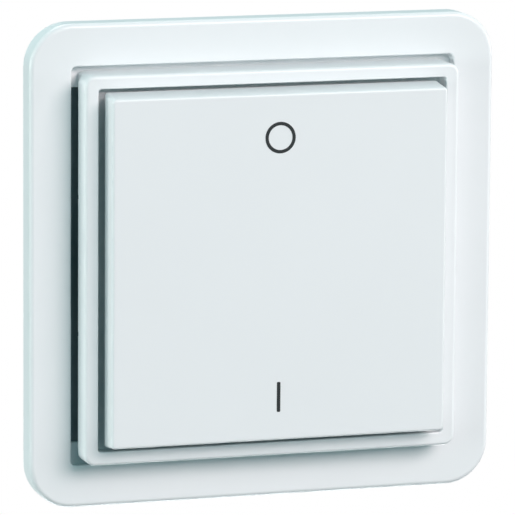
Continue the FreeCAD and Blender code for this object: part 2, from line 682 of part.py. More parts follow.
def make_module_tray():
    body = new_body("module_tray")
    outline = new_sketch(body, "outline", level=s.plate_thick)
    draw_rounded(outline, s.module_side, s.module_side, s.module_corner)
    pad(body, outline, s.parting_level - s.plate_thick)
    hollow = new_sketch(body, "hollow", level=s.parting_level)
    draw_rounded(hollow, module_inside, module_inside, s.module_corner - s.module_wall)
    cut(body, hollow, s.parting_level - floor_top)
    window = new_sketch(body, "cell_window", level=floor_top)
    draw_circle(window, holder_outside + 2 * s.window_clear)
    cut(body, window, s.tray_floor)
    for n, (x, z) in enumerate(corners):
        spot = {"across": x * s.pillar_offset, "up": z * s.pillar_offset}
        pillar = new_sketch(body, f"pillar{n}", level=s.plate_thick, **spot)
        draw_circle(pillar, s.pillar_diameter)
        pad(body, pillar, s.board_level - s.plate_thick)
        hole = new_sketch(body, f"hole{n}", level=s.plate_thick, **spot)
        draw_circle(hole, s.shank_diameter + 2 * s.shank_clear)
        cut(body, hole, s.board_level - s.plate_thick, forward=True)
        sink = new_sketch(body, f"sink{n}", level=s.plate_thick, **spot)
        draw_circle(sink, s.bolt_head + 2 * s.shank_clear)
        cut(body, sink, s.bolt_sink + s.bolt_head_thick, forward=True)
    low = s.hook_level - s.snap_clear
    high = s.hook_level + s.barb_height + s.snap_clear
    latch = new_sketch(body, "latch_windows", plane="XY_Plane", up=-(low + high) / 2)
    draw_rectangle(latch, s.hook_width + 2 * s.snap_clear, high - low)
    cut(body, latch, s.frame_side, both=True)
    return body


def make_module_cover():
    body = new_body("module_cover")
    outline = new_sketch(body, "outline", level=s.parting_level)
    draw_rounded(outline, s.module_side, s.module_side, s.module_corner)
    pad(body, outline, cover_front - s.parting_level)
    hollow = new_sketch(body, "hollow", level=s.parting_level)
    draw_rounded(hollow, module_inside, module_inside, s.module_corner - s.module_wall)
    cut(body, hollow, cover_back - s.mat_sink - s.parting_level, forward=True)
    seat = new_sketch(body, "mat_seat", level=board_front)
    seat_width = s.mat_width + 2 * s.mat_clear
    seat_length = s.mat_length + 2 * s.mat_clear
    draw_rounded(seat, seat_width, seat_length, s.mat_corner + s.mat_clear)
    cut(body, seat, s.mat_thick, forward=True)
    for n, (x, z) in enumerate(corners):
        spot = {"across": x * s.pillar_offset, "up": z * s.pillar_offset, "level": board_front}
        boss = new_sketch(body, f"boss{n}", **spot)
        draw_circle(boss, s.pillar_diameter)
        pad(body, boss, cover_front - board_front - s.cover_face / 2)
        pilot = new_sketch(body, f"pilot{n}", **spot)
        draw_circle(pilot, s.shank_diameter + 2 * s.grip_clear)
        cut(body, pilot, s.grip_length + s.snap_clear, forward=True)
    for name, way in (("upper", 1), ("lower", -1)):
        hole = new_sketch(body, f"{name}_hole", up=way * s.dome_offset, level=cover_front)
        draw_circle(hole, s.dome_base + 2 * s.dome_clear)
        cut(body, hole, s.cover_face)
    round_front(body, s.cover_edge)
    inset = s.module_wall / 2
    pin = new_sketch(body, "pin", plane="YZ_Plane", across=-s.pivot_level, level=s.module_side / 2 - inset)
    draw_circle(pin, s.pin_diameter)
    mirror(body, pad(body, pin, s.pin_reach + inset), "YZ_Plane")
    return body


def make_circuit_board():
    body = new_body("circuit_board")
    outline = new_sketch(body, "outline", level=s.board_level)
    side = module_inside - 2 * s.board_clear
    draw_rounded(outline, side, side, s.module_corner - s.board_clear)
    pad(body, outline, s.board_thick)
    for n, (x, z) in enumerate(corners):
        spot = {"across": x * s.pillar_offset, "up": z * s.pillar_offset}
        hole = new_sketch(body, f"hole{n}", level=board_front, **spot)
        draw_circle(hole, s.shank_diameter + 2 * s.shank_clear)
        cut(body, hole, s.board_thick)
    return body


def make_contact_mat():
    body = new_body("contact_mat")
    flange = new_sketch(body, "flange", level=board_front)
    draw_rounded(flange, s.mat_width, s.mat_length, s.mat_corner)
    pad(body, flange, s.mat_thick)
    for name, way in (("upper", 1), ("lower", -1)):
        well = new_sketch(body, f"{name}_well", up=way * s.dome_offset, level=cover_back)
        draw_circle(well, s.dome_base - 2 * s.dome_wall)
        cut(body, well, s.mat_thick)
        dome = new_sketch(body, f"{name}_dome", plane="XY_Plane", level=way * s.dome_offset)
        base = s.dome_base / 2
        nub = s.dome_nub / 2
        shoulder = nub_top - s.nub_height
        contact = board_front + s.dome_travel
        draw_outline(dome, [
            (0, -contact),
            (nub - s.dome_wall, -contact),
            (nub - s.dome_wall, -(shoulder - s.dome_wall)),
            (base - s.dome_wall, -cover_back),
            (base - s.dome_wall, -board_front),
            (base, -board_front),
            (base, -cover_back),
            (nub, -shoulder),
            (nub, -nub_top),
            (0, -nub_top),
        ])
        revolve(body, dome)
    return body


def make_coin_cell():
    body = new_body("coin_cell")
    can = new_sketch(body, "can", level=cell_back)
    draw_circle(can, s.cell_diameter)
    pad(body, can, s.cell_thick - s.cell_step)
    cap = new_sketch(body, "cap", level=cell_front - s.cell_step)
    draw_circle(cap, s.cell_cap)
    pad(body, cap, s.cell_step)
    return body


def make_cell_holder():
    body = new_body("cell_holder")
    ring = new_sketch(body, "ring", level=s.board_level - s.holder_height)
    draw_circle(ring, holder_outside)
    draw_circle(ring, holder_bore, name="bore")
    pad(body, ring, s.holder_height)
    gap = new_sketch(body, "gap", level=s.board_level - s.holder_height, across=holder_outside / 2)
    draw_rectangle(gap, holder_outside / 2, s.holder_gap)
    cut(body, gap, s.holder_height / 2, forward=True)
    return body


def make_positive_clip():
    body = new_body("positive_clip")
    strip = new_sketch(body, "strip", plane="YZ_Plane")
    inner = holder_outside / 2 + s.clip_clear
    outer = inner + s.clip_strip
    foot = outer + s.clip_foot
    seat = -s.board_level
    sole = -(s.board_level - s.clip_strip)
    crown = -cell_back
    back = -(cell_back - s.clip_strip)
    draw_outline(strip, [
        (seat, -foot), (seat, -inner), (crown, -inner), (crown, inner), (seat, inner), (seat, foot),
        (sole, foot), (sole, outer), (back, outer), (back, -outer), (sole, -outer), (sole, -foot),
    ])
    pad(body, strip, s.clip_width, both=True)
    return body


def make_negative_contact():
    body = new_body("negative_contact")
    strip = new_sketch(body, "strip", plane="XY_Plane")
    foot = s.contact_span / 2 + s.contact_foot
    knee = s.contact_span / 2
    crown = s.contact_crown / 2
    seat = -s.board_level
    sole = -(s.board_level - s.contact_strip)
    touch = -cell_front
    under = -(cell_front + s.contact_strip)
    draw_outline(strip, [
        (-foot, seat), (-knee, seat), (-crown, under), (crown, under), (knee, seat), (foot, seat),
        (foot, sole), (knee, sole), (crown, touch), (-crown, touch), (-knee, sole), (-foot, sole),
    ])
    pad(body, strip, s.contact_width, both=True)
    return body


def make_chips():
    radio = block("radio_chip", -s.chip_column, s.chip_row, s.radio_side, s.radio_thick, s.radio_side)
    crystal = block(
        "crystal", -s.chip_column, -s.lower_row, s.crystal_width, s.crystal_thick, s.crystal_length
    )
    pieces = [block("coder_case", s.chip_column, s.chip_row, s.coder_width, s.coder_thick, s.coder_length)]
    for side in (-1, 1):
        x = s.chip_column + side * (s.coder_width + s.lead_reach) / 2
        for lead in range(LEADS_ON_SIDE):
            z = s.chip_row + s.lead_pitch * (lead - (LEADS_ON_SIDE - 1) / 2)
            pieces.append(block("coder_lead", x, z, s.lead_reach, s.lead_thick, s.lead_width))
    coder = fuse("coding_chip", pieces)
    spot = (s.chip_column, -s.lower_row)
    coil_back = s.board_level - s.coil_height
    coil = fuse("matching_coil", [
        post("coil_winding", *spot, coil_back, s.coil_core, s.coil_height),
        post("coil_outer_flange", *spot, coil_back, s.coil_flange, s.coil_plate),
        post("coil_board_flange", *spot, s.board_level - s.coil_plate, s.coil_flange, s.coil_plate),
    ])
    return [radio, crystal, coder, coil]


def make_passives():
    """Two short rows of chip parts along the board's upper edge."""
    nodes = []
    for name, way in (("capacitors", -1), ("resistors", 1)):
        pieces = []
        for n in range(PASSIVES_IN_ROW):
            x = way * (s.passive_pitch * (n + 0.5) + s.passive_width)
            size = (s.passive_width, s.passive_thick, s.passive_length)
            pieces.append(block(f"{name}_piece", x, s.passive_row, *size))
        nodes.append(group(name, pieces))
    return nodes


def make_antenna():
    """A loop of stiff wire that stands on the board's back like a staple."""
    body = new_body("antenna")
    half = s.antenna_span / 2
    path = new_sketch(body, "path", plane="XY_Plane", level=-s.antenna_row)
    near = s.antenna_height - s.antenna_bend
    left = (-half).number
    base = -s.board_level.number
    top = base + s.antenna_height.number
    bend = s.antenna_bend.number
    chord = bend * (1 - 0.5 ** 0.5)
    vector = FreeCAD.Vector
    first = sketch_line(path, vector(left, base), vector(left, top - bend))
    arc_a = path.addGeometry(Part.Arc(
        vector(left, top - bend), vector(left + chord, top - chord), vector(left + bend, top)
    ))
    bridge = sketch_line(path, vector(left + bend, top), vector(-left - bend, top))
    arc_b = path.addGeometry(Part.Arc(
        vector(-left - bend, top), vector(-left - chord, top - chord), vector(-left, top - bend)
    ))
    last = sketch_line(path, vector(-left, top - bend), vector(-left, base))
    rule(path, "Tangent", first, 2, arc_a, 2)
    rule(path, "Tangent", arc_a, 1, bridge, 1)
    rule(path, "Tangent", bridge, 2, arc_b, 2)
    rule(path, "Tangent", arc_b, 1, last, 1)
    rule(path, "Vertical", first)
    rule(path, "Vertical", last)
    rule(path, "Equal", arc_a, arc_b)
    fix_point(path, "start", first, 1, -half, -s.board_level)
    fix_point(path, "end", last, 2, half, -s.board_level)
    dimension(path, "bend", "Radius", arc_a, s.antenna_bend)
    dimension(path, "leg", "DistanceY", first, 1, first, 2, near)
    wire = new_sketch(body, "wire", across=-half, up=-s.antenna_row, level=s.board_level)
    draw_circle(wire, s.antenna_wire)
    pipe = body.newObject("PartDesign::AdditivePipe", "antenna_pipe")
    pipe.Profile = wire
    pipe.Spine = (path, [f"Edge{n}" for n in range(1, 6)])
    settle(body, pipe)
    return body


def sketch_line(sketch, start, end):
    return sketch.addGeometry(Part.LineSegment(start, end))


def make_housing_screws():
    head_level = s.plate_thick + s.bolt_sink
    shank_end = board_front + s.grip_length
    screws = []
    for n, (x, z) in enumerate(corners):
        spot = (x * s.pillar_offset, z * s.pillar_offset)
        screws.append(fuse(f"screw{n}", [
            post(f"screw{n}_head", *spot, head_level, s.bolt_head, s.bolt_head_thick),
            post(f"screw{n}_shank", *spot, head_level, s.shank_diameter, shank_end - head_level),
        ]))
    return group("housing_screws", screws)


nodes = [
    make_outer_frame(),
    make_wall_plate(),
    make_centre_frame(),
    make_rocker(),
    make_module_tray(),
    make_module_cover(),
    make_circuit_board(),
    make_contact_mat(),
    make_coin_cell(),
    make_cell_holder(),
    make_positive_clip(),
    make_negative_contact(),
    *make_chips(),
    *make_passives(),
    make_antenna(),
    make_housing_screws(),
]
doc.recompute()

for item in doc.Objects:
    if "Invalid" in item.State or "Error" in item.State:
        raise RuntimeError(f"{item.Name} failed: {item.State}")
for node in nodes:
    if node.Shape.isNull() or not node.Shape.isValid():
        raise RuntimeError(f"{node.Label} has no valid shape")

os.makedirs("parts", exist_ok=True)
for node in nodes:
    node.Shape.exportStep(os.path.join("parts", f"{node.Label}.step"))
    print(f"{node.Label}: {len(node.Shape.Solids)} solids, {node.Shape.Volume:.1f} mm3")
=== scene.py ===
import math
from collections import namedtuple

import bpy
from bpy.props import FloatProperty, FloatVectorProperty, PointerProperty
from mathutils import Matrix, Vector


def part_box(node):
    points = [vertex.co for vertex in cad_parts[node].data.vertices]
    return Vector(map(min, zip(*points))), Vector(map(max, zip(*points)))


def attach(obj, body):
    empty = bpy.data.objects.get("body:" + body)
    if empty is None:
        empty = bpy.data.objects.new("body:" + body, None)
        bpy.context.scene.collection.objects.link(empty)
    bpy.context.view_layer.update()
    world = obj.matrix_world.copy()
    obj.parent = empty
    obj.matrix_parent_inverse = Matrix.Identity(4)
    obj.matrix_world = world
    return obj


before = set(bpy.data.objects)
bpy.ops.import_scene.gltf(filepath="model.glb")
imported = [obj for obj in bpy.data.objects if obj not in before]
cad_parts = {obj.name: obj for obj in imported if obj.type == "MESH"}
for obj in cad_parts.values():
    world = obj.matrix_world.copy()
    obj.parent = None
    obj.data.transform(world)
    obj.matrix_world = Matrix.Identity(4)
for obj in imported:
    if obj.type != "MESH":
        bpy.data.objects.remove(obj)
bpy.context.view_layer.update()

bl_info = {
    "name": "Wall switch",
    "version": (1, 0, 0),
    "blender": (4, 5, 0),
    "location": "3D View > Sidebar > Wall switch",
    "description": "Signs, finishes and stage of a wireless wall switch",
    "category": "Object",
}

# Metres, in the frame of the solids: the wall is the plane y = 0 and the switch faces -Y.
MM = 0.001
ROCKER_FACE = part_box("rocker")[0].y
FRAME_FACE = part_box("outer_frame")[0].y

# Signs
FACING_ROOM = (math.radians(90), 0, 0)
RING_STEPS = 96
BAR_ROUNDING = 0.3
BAR_STEPS = 5
SMOOTH_ANGLE = math.radians(35)

# Finishes: colours of the parts inside, and what all plastics or all metals share.
BOARD_GREEN = (0.012, 0.11, 0.045)
MAT_GREY = (0.30, 0.31, 0.32)
HOLDER_BLACK = (0.012, 0.012, 0.013)
CHIP_BLACK = (0.014, 0.014, 0.016)
FERRITE_GREY = (0.045, 0.040, 0.040)
CERAMIC_TAN = (0.36, 0.25, 0.14)
CELL_STEEL = (0.70, 0.69, 0.67)
SPRING_STEEL = (0.66, 0.65, 0.62)
CRYSTAL_STEEL = (0.68, 0.66, 0.61)
ANTENNA_BRASS = (0.72, 0.50, 0.24)
SCREW_ZINC = (0.60, 0.60, 0.61)
PLASTIC_UNEVEN = 0.04
PLASTIC_GRAIN_SHARE = 0.4
PLASTIC_BUMP_HEIGHT = 0.02 * MM
METAL_SMOOTHER, METAL_ROUGHER = 0.06, 0.08
METAL_DARK, METAL_LIGHT = 0.9, 1.06
METAL_BUMP = 0.1
METAL_BUMP_HEIGHT = 0.01 * MM

# A Noise texture's values mostly lie between these two.
NOISE_LOW, NOISE_HIGH = 0.3, 0.7

# Sockets of a colour Mix node, which has several of each name.
MIX_FACTOR, MIX_A, MIX_B, MIX_RESULT = 0, 6, 7, 2

# Stage: the floor's paper turns white between two distances from its middle.
# PAPER_RETURN is the paper's colour to every ray but the camera's.
SENSOR_WIDTH = 36.0
CLIP_START = 0.01
FLOOR_SIDE = 12
FLOOR_CUTS = 3
PAPER_GRAIN = 400.0
PAPER_DIM, PAPER_BRIGHT = (0.98, 0.875, 0.87, 1), (1.0, 0.895, 0.89, 1)
PAPER_RETURN = (0.13, 0.165, 0.17, 1)
WHITE_FROM, WHITE_TO = 0.2, 0.5
WHITE = (1, 1, 1, 1)

# Lamps: directions in degrees, 0 being straight in front and level, with right and up positive.
SoftBox = namedtuple("SoftBox", "name azimuth elevation distance width height power colour")
LAMP_DISTANCE = 2.4
UNDER_DISTANCE = 0.17
SOFT_BOXES = (
    SoftBox("key_box", azimuth=27, elevation=27, distance=LAMP_DISTANCE,
            width=1.71, height=1.10, power=56.6, colour=(1.0, 0.86, 0.855)),
    SoftBox("low_box", azimuth=23, elevation=5, distance=LAMP_DISTANCE,
            width=1.34, height=0.30, power=1.5, colour=(0.72, 0.98, 1.0)),
    SoftBox("right_box", azimuth=82, elevation=4, distance=LAMP_DISTANCE,
            width=0.80, height=0.53, power=17.0, colour=(1.0, 1.0, 1.0)),
    SoftBox("back_box", azimuth=120, elevation=55, distance=LAMP_DISTANCE,
            width=1.06, height=1.06, power=3.8, colour=(0.95, 1.0, 0.95)),
    SoftBox("rim_box", azimuth=180, elevation=48, distance=LAMP_DISTANCE,
            width=0.80, height=0.80, power=20.0, colour=(1.0, 0.99, 0.98)),
    SoftBox("left_box", azimuth=-77, elevation=3, distance=LAMP_DISTANCE,
            width=0.67, height=0.53, power=20.0, colour=(0.95, 1.0, 0.985)),
    SoftBox("rear_box", azimuth=-110, elevation=5, distance=LAMP_DISTANCE,
            width=0.80, height=0.80, power=25.0, colour=(1.0, 0.97, 0.93)),
    SoftBox("under_box", azimuth=180, elevation=-66, distance=UNDER_DISTANCE,
            width=0.16, height=0.03, power=0.21, colour=(0.95, 1.0, 1.0)),
)


class SignSizes(bpy.types.PropertyGroup):
    """The two signs printed on the rocker."""

    ring_diameter: FloatProperty(
        name="Ring diameter", description="Outer diameter of the ring", default=5.25 * MM, unit="LENGTH")
    ring_stroke: FloatProperty(
        name="Ring stroke", description="Width of the ring's line", default=0.565 * MM, unit="LENGTH")
    bar_length: FloatProperty(
        name="Bar length", description="Length of the upright bar", default=5.07 * MM, unit="LENGTH")
    bar_width: FloatProperty(
        name="Bar width", description="Width of the upright bar", default=0.61 * MM, unit="LENGTH")
    offset: FloatProperty(
        name="Offset", description="Height of the ring, and depth of the bar, from the rocker's middle",
        default=21.75 * MM, unit="LENGTH")
    across: FloatProperty(
        name="Across", description="Place of both signs across the rocker, from its middle",
        default=-0.24 * MM, unit="LENGTH")
    film: FloatProperty(
        name="Film", description="Thickness of the ink on the rocker's face",
        default=0.03 * MM, unit="LENGTH")
    ink: FloatVectorProperty(
        name="Ink", description="Colour of the printed signs", subtype="COLOR", size=3,
        default=(0.012, 0.018, 0.020), min=0, max=1)


class FinishColours(bpy.types.PropertyGroup):
    """Finish of the white mouldings, and colours of the wall plate, whose grey also paints the shade in the
    side gaps, and of the module.
    """

    white: FloatVectorProperty(
        name="White", description="Cool white of the frame, the centre frame and the rocker",
        subtype="COLOR", size=3, default=(0.820, 0.850, 0.865), min=0, max=1)
    white_roughness: FloatProperty(
        name="White roughness", description="Roughness of the white mouldings", default=0.36, min=0, max=1)
    grain: FloatProperty(
        name="Grain", description="Size of the fine grain of the white mouldings",
        default=0.28 * MM, unit="LENGTH")
    # The wall plate's dark bluish grey is partly its own colour and partly painted shade: it is set this dark
    # and cool so that the plate, where it shows deep in the side gaps between the frames, paints the shade
    # there.
    plate: FloatVectorProperty(
        name="Wall plate", description="Dark grey of the wall plate", subtype="COLOR", size=3,
        default=(0.190, 0.235, 0.260), min=0, max=1)
    module: FloatVectorProperty(
        name="Module", description="Dark grey of the transmitter's housing", subtype="COLOR", size=3,
        default=(0.040, 0.043, 0.046), min=0, max=1)


class StageSettings(bpy.types.PropertyGroup):
    """Camera, even light and floor."""

    yaw: FloatProperty(
        name="Yaw", description="How far the camera stands to the left",
        default=math.radians(18.26), subtype="ANGLE")
    pitch: FloatProperty(
        name="Pitch", description="How far the camera stands above",
        default=math.radians(9.61), subtype="ANGLE")
    roll: FloatProperty(
        name="Roll", description="Tilt of the camera about its own axis",
        default=math.radians(0.41), subtype="ANGLE")
    distance: FloatProperty(
        name="Distance", description="From the camera to the frame's face",
        default=835 * MM, unit="LENGTH")
    aim_x: FloatProperty(
        name="Aim across", description="Point on the frame's face that the camera looks at, across",
        default=-1.06 * MM, unit="LENGTH")
    aim_z: FloatProperty(
        name="Aim up", description="Point on the frame's face that the camera looks at, upwards",
        default=0.27 * MM, unit="LENGTH")
    lens: FloatProperty(
        name="Lens", description="Focal length", default=349.5, unit="CAMERA")
    sky: FloatVectorProperty(
        name="Sky", description="Colour of the even light from all round", subtype="COLOR", size=3,
        default=(0.30, 0.94, 1.0), min=0, max=1)
    sky_strength: FloatProperty(
        name="Sky strength", description="Strength of the even light", default=0.28, min=0)
    floor_drop: FloatProperty(
        name="Floor drop", description="Depth of the floor below the switch's middle",
        default=0.2, unit="LENGTH")


# Pieces

def start_piece():
    """Leaves nothing selected, so that an operator acts on the new piece alone."""
    if bpy.context.mode != "OBJECT":
        bpy.ops.object.mode_set(mode="OBJECT")
    bpy.ops.object.select_all(action="DESELECT")


def finish_piece(name, body, material):
    """Puts the active piece's place into its mesh, names it, dresses it and sets it on its body."""
    bpy.ops.object.transform_apply(location=True, rotation=True, scale=True)
    piece = bpy.context.object
    piece.name = name
    piece.data.name = name
    piece.data.materials.append(material)
    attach(piece, body)


def dress(material, *nodes):
    """Gives solids of the frame their finish."""
    for node in nodes:
        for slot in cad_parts[node].material_slots:
            slot.material = material


# Shader nodes

def empty_tree(owner):
    """The node tree of a new material or world, with nothing in it."""
    owner.use_nodes = True
    owner.node_tree.nodes.clear()
    return owner.node_tree


def feed(tree, socket, value):
    """Gives an input its constant, or links the output that feeds it."""
    if isinstance(value, bpy.types.NodeSocket):
        tree.links.new(value, socket)
    else:
        socket.default_value = value


def add_node(tree, kind, inputs=None, **settings):
    """A shader node with its settings and inputs."""
    made = tree.nodes.new(kind)
    for key, value in settings.items():
        setattr(made, key, value)
    for key, value in (inputs or {}).items():
        feed(tree, made.inputs[key], value)
    return made


def math_node(tree, operation, *values):
    """The result of one sum on sockets and numbers."""
    return add_node(tree, "ShaderNodeMath", dict(enumerate(values)), operation=operation).outputs[0]


def noise(tree, place, scale, detail, roughness=0.5):
    """A noise over the surface."""
    return add_node(tree, "ShaderNodeTexNoise", {
        "Vector": place, "Scale": scale, "Detail": detail, "Roughness": roughness}).outputs["Fac"]


def mix_colours(tree, factor, first, second):
    """A colour between two, by a factor that changes over the surface."""
    inputs = {MIX_FACTOR: factor, MIX_A: first, MIX_B: second}
    return add_node(tree, "ShaderNodeMix", inputs, data_type="RGBA").outputs[MIX_RESULT]


def mix_shaders(tree, factor, first, second):
    """A shader between two, by a factor."""
    return add_node(tree, "ShaderNodeMixShader", {0: factor, 1: first.outputs[0], 2: second.outputs[0]})


def rgba(colour, shade=1.0):
    """A colour as a shader socket takes it, darker or lighter by a shade."""
    return (*[channel * shade for channel in colour], 1.0)


def seen_directly(tree):
    """1 for a ray from the camera, 0 for a ray that gathers light."""
    return tree.nodes.new("ShaderNodeLightPath").outputs["Is Camera Ray"]


# Finishes

def new_effect(name, inputs):
    """An effect group with float inputs, that gives shade, roughness and height, and its two end nodes."""
    group = bpy.data.node_groups.new(name, "ShaderNodeTree")
    for label, default in inputs.items():
        socket = group.interface.new_socket(label, in_out="INPUT", socket_type="NodeSocketFloat")
        socket.default_value = default
    for label in ("Shade", "Roughness", "Height"):
        group.interface.new_socket(label, in_out="OUTPUT", socket_type="NodeSocketFloat")
    return group, group.nodes.new("NodeGroupInput"), group.nodes.new("NodeGroupOutput")


def uneven_roughness(group, given, value):
    """Roughness between the effect's two limits, by a noise."""
    return add_node(group, "ShaderNodeMapRange", {
        "Value": value, "From Min": NOISE_LOW, "From Max": NOISE_HIGH,
        "To Min": given.outputs["Roughness Low"],
        "To Max": given.outputs["Roughness High"]}).outputs["Result"]


def moulded_grain():
    """Fine grain of a moulding: slow changes of shade, uneven roughness and small bumps."""
    if "moulded grain" in bpy.data.node_groups:
        return bpy.data.node_groups["moulded grain"]
    group, given, result = new_effect(
        "moulded grain", {"Grain": 3500.0, "Flow": 45.0, "Roughness Low": 0.3, "Roughness High": 0.4})
    place = group.nodes.new("ShaderNodeTexCoord").outputs["Object"]
    grain = noise(group, place, given.outputs["Grain"], detail=2.0, roughness=0.55)
    flow = noise(group, place, given.outputs["Flow"], detail=3.0)
    fine = math_node(group, "MULTIPLY", grain, PLASTIC_GRAIN_SHARE)
    slow = math_node(group, "MULTIPLY", flow, 1 - PLASTIC_GRAIN_SHARE)
    uneven = math_node(group, "ADD", fine, slow)
    feed(group, result.inputs["Shade"], flow)
    feed(group, result.inputs["Roughness"], uneven_roughness(group, given, uneven))
    feed(group, result.inputs["Height"], grain)
    return group


def drawn_lines():
    """Fine lines left by drawing or rolling metal along Z, as shade, roughness and height."""
    if "drawn lines" in bpy.data.node_groups:
        return bpy.data.node_groups["drawn lines"]
    group, given, result = new_effect(
        "drawn lines", {"Lines": 4000.0, "Run": 150.0, "Roughness Low": 0.2, "Roughness High": 0.35})
    place = group.nodes.new("ShaderNodeTexCoord").outputs["Object"]
    stretch = group.nodes.new("ShaderNodeCombineXYZ")
    for axis, size in (("X", "Lines"), ("Y", "Lines"), ("Z", "Run")):
        feed(group, stretch.inputs[axis], given.outputs[size])
    along = add_node(group, "ShaderNodeVectorMath", {0: place, 1: stretch.outputs[0]}, operation="MULTIPLY")
    lines = noise(group, along.outputs[0], 1.0, detail=4.0)
    feed(group, result.inputs["Shade"], lines)
    feed(group, result.inputs["Roughness"], uneven_roughness(group, given, lines))
    feed(group, result.inputs["Height"], lines)
    return group


def surface(name, effect, values, colours, bump, bump_height, metallic):
    """A material whose colour, roughness and bumps come from one effect group."""
    material = bpy.data.materials.new(name)
    tree = empty_tree(material)
    pattern = add_node(tree, "ShaderNodeGroup", values, node_tree=effect)
    normal = add_node(tree, "ShaderNodeBump", {
        "Strength": bump, "Distance": bump_height, "Height": pattern.outputs["Height"]}).outputs["Normal"]
    shader = add_node(tree, "ShaderNodeBsdfPrincipled", {
        "Base Color": mix_colours(tree, pattern.outputs["Shade"], *colours),
        "Roughness": pattern.outputs["Roughness"], "Metallic": metallic, "Normal": normal})
    add_node(tree, "ShaderNodeOutputMaterial", {"Surface": shader.outputs["BSDF"]})
    return material


def plastic(name, colour, grain, roughness, bump, spread):
    """Moulded plastic: one colour whose shade spreads slowly, under a fine grain."""
    values = {
        "Grain": 1 / grain,
        "Roughness Low": roughness - PLASTIC_UNEVEN, "Roughness High": roughness + PLASTIC_UNEVEN}
    colours = (rgba(colour, 1 - spread), rgba(colour, 1 + spread))
    return surface(name, moulded_grain(), values, colours, bump, PLASTIC_BUMP_HEIGHT, metallic=0.0)


def metal(name, colour, lines, roughness):
    """Drawn or rolled metal with so many fine lines a metre."""
    values = {
        "Lines": lines,
        "Roughness Low": roughness - METAL_SMOOTHER, "Roughness High": roughness + METAL_ROUGHER}
    colours = (rgba(colour, METAL_DARK), rgba(colour, METAL_LIGHT))
    return surface(name, drawn_lines(), values, colours, METAL_BUMP, METAL_BUMP_HEIGHT, metallic=1.0)


class WALLSWITCH_OT_signs(bpy.types.Operator):
    """Print the ring and the bar on the rocker's face"""

    bl_idname = "wallswitch.signs"
    bl_label = "Print the signs"

    def execute(self, context):
        sizes = context.scene.wallswitch_signs
        ink = plastic("sign_ink", sizes.ink, grain=0.1 * MM, roughness=0.6, bump=0.05, spread=0.15)
        self.ring(sizes, ink)
        self.bar(sizes, ink)
        return {"FINISHED"}

    def ring(self, sizes, ink):
        """A flat ring: a disc, inset by the stroke, its middle taken out and its face raised by the film."""
        start_piece()
        bpy.ops.mesh.primitive_circle_add(
            vertices=RING_STEPS, radius=sizes.ring_diameter / 2, fill_type="NGON",
            location=(sizes.across, ROCKER_FACE, sizes.offset), rotation=FACING_ROOM)
        bpy.ops.object.mode_set(mode="EDIT")
        bpy.ops.mesh.select_all(action="SELECT")
        bpy.ops.mesh.inset(thickness=sizes.ring_stroke)
        bpy.ops.mesh.delete(type="FACE")
        self.raise_film(sizes)
        finish_piece("ring_sign", "rocker", ink)

    def bar(self, sizes, ink):
        """A flat bar with softly rounded ends, its face raised by the film."""
        start_piece()
        bpy.ops.mesh.primitive_plane_add(
            size=1, location=(sizes.across, ROCKER_FACE, -sizes.offset), rotation=FACING_ROOM)
        bpy.ops.transform.resize(value=(sizes.bar_width, 1, sizes.bar_length))
        bpy.ops.object.transform_apply(location=False, rotation=True, scale=True)
        bpy.ops.object.mode_set(mode="EDIT")
        bpy.ops.mesh.select_all(action="SELECT")
        bpy.ops.mesh.bevel(offset=sizes.bar_width * BAR_ROUNDING, segments=BAR_STEPS, affect="VERTICES")
        self.raise_film(sizes)
        finish_piece("bar_sign", "rocker", ink)

    def raise_film(self, sizes):
        """Raises the flat sign from the rocker's face by the ink's thickness and shades its curves smooth."""
        bpy.ops.mesh.select_all(action="SELECT")
        bpy.ops.mesh.extrude_region_move(TRANSFORM_OT_translate={"value": (0, -sizes.film, 0)})
        bpy.ops.mesh.select_all(action="SELECT")
        bpy.ops.mesh.normals_make_consistent(inside=False)
        bpy.ops.object.mode_set(mode="OBJECT")
        bpy.ops.object.shade_smooth_by_angle(angle=SMOOTH_ANGLE)


class WALLSWITCH_OT_mouldings(bpy.types.Operator):
    """Give the frame, the centre frame and the rocker their white finish"""

    bl_idname = "wallswitch.mouldings"
    bl_label = "Finish the white mouldings"

    def execute(self, context):
        finish = context.scene.wallswitch_finish
        white = plastic(
            "white_finish", finish.white, grain=finish.grain, roughness=finish.white_roughness,
            bump=0.05, spread=0.008)
        dress(white, "outer_frame", "centre_frame", "rocker")
        return {"FINISHED"}


